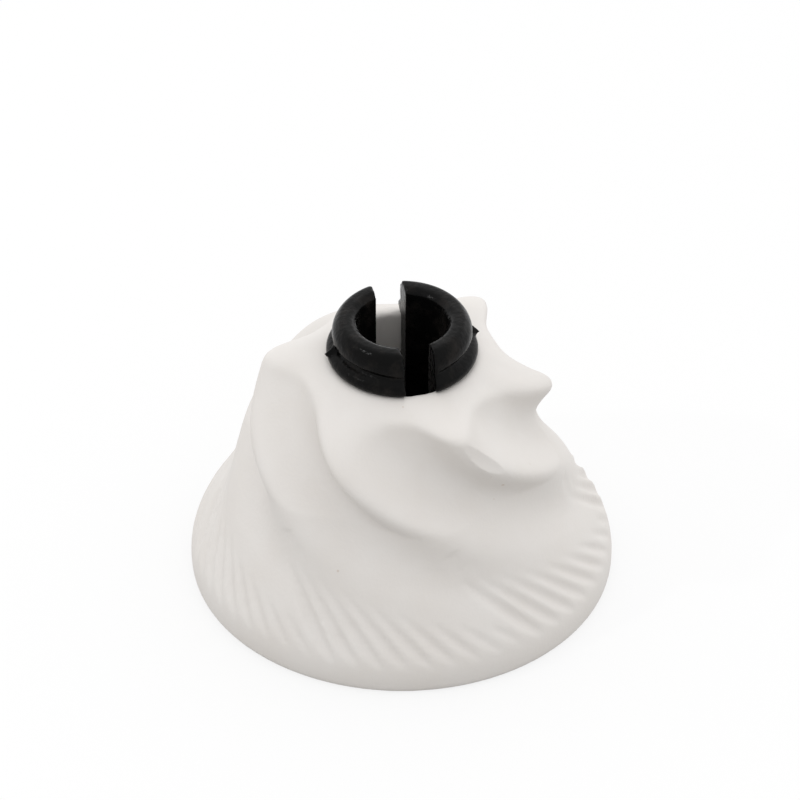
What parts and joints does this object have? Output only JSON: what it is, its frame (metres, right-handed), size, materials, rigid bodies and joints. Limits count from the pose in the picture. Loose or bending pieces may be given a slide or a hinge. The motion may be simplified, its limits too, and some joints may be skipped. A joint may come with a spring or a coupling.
{
  "type": "coffee grinder burr",
  "caption": "Conical ceramic grinding burr with spiral lobes and fine slanted teeth, carried on a split black plastic drive sleeve.",
  "frame": {"origin": "centre of the cone's foot, on the surface that it stands on", "axes": "+Z along the shaft axis, from the wide foot to the sleeve's free end; the sleeve's slot lies 15 degrees from Y"},
  "size_m": [0.038, 0.038, 0.0269],
  "materials": {
    "white_ceramic": "matt fired ceramic",
    "black_plastic": "satin moulded plastic"
  },
  "bodies": {
    "root": {"grinding_cone": "white_ceramic", "drive_sleeve": "black_plastic"}
  },
  "joints": []
}
